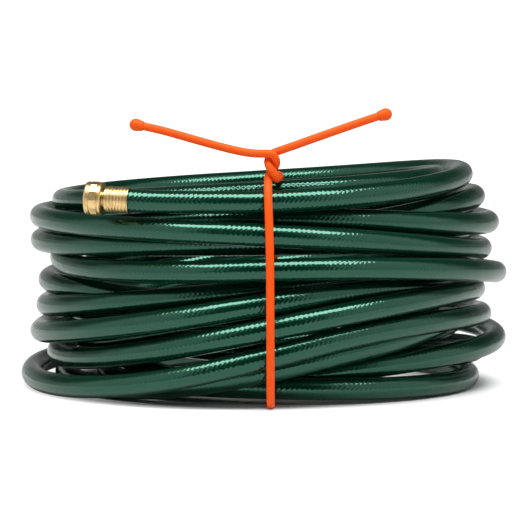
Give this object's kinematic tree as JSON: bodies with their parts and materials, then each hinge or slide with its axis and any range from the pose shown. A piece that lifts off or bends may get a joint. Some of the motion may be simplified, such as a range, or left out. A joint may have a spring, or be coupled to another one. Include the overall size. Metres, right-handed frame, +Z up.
{
  "type": "soaker hose",
  "caption": "Braid-reinforced green hose coiled flat for storage, with brass threaded couplings on both ends, held at the front by an orange rubber-covered twist tie.",
  "frame": {"origin": "on the floor at the middle of the coil", "axes": "+Z up out of the coil, -Y towards the tie at the front, +X to the right seen from the front"},
  "size_m": [0.4733, 0.4797, 0.2762],
  "materials": {
    "hose_cover": "glossy soft vinyl, the braid showing through as fine slanting ripples",
    "hose_braid": "polyester yarn",
    "hose_liner": "soft vinyl",
    "brass": "bright turned and pressed brass",
    "washer_rubber": "matte",
    "tie_rubber": "matte",
    "tie_steel": "drawn wire"
  },
  "bodies": {
    "hose": {"hose_cover": "hose_cover", "hose_braid": "hose_braid", "hose_liner": "hose_liner", "female_stem": "brass", "female_ferrule": "brass", "male_coupling": "brass", "male_ferrule": "brass", "tie_cover": "tie_rubber", "tie_wire": "tie_steel"},
    "nut": {"coupling_nut": "brass", "hose_washer": "washer_rubber"}
  },
  "joints": [
    {"name": "nut_swivel", "type": "hinge", "parent": "hose", "child": "nut", "pos_m": [-0.15535, -0.18521, 0.19238], "axis": [-0.9772, 0.2077, 0.0436], "continuous": true}
  ]
}
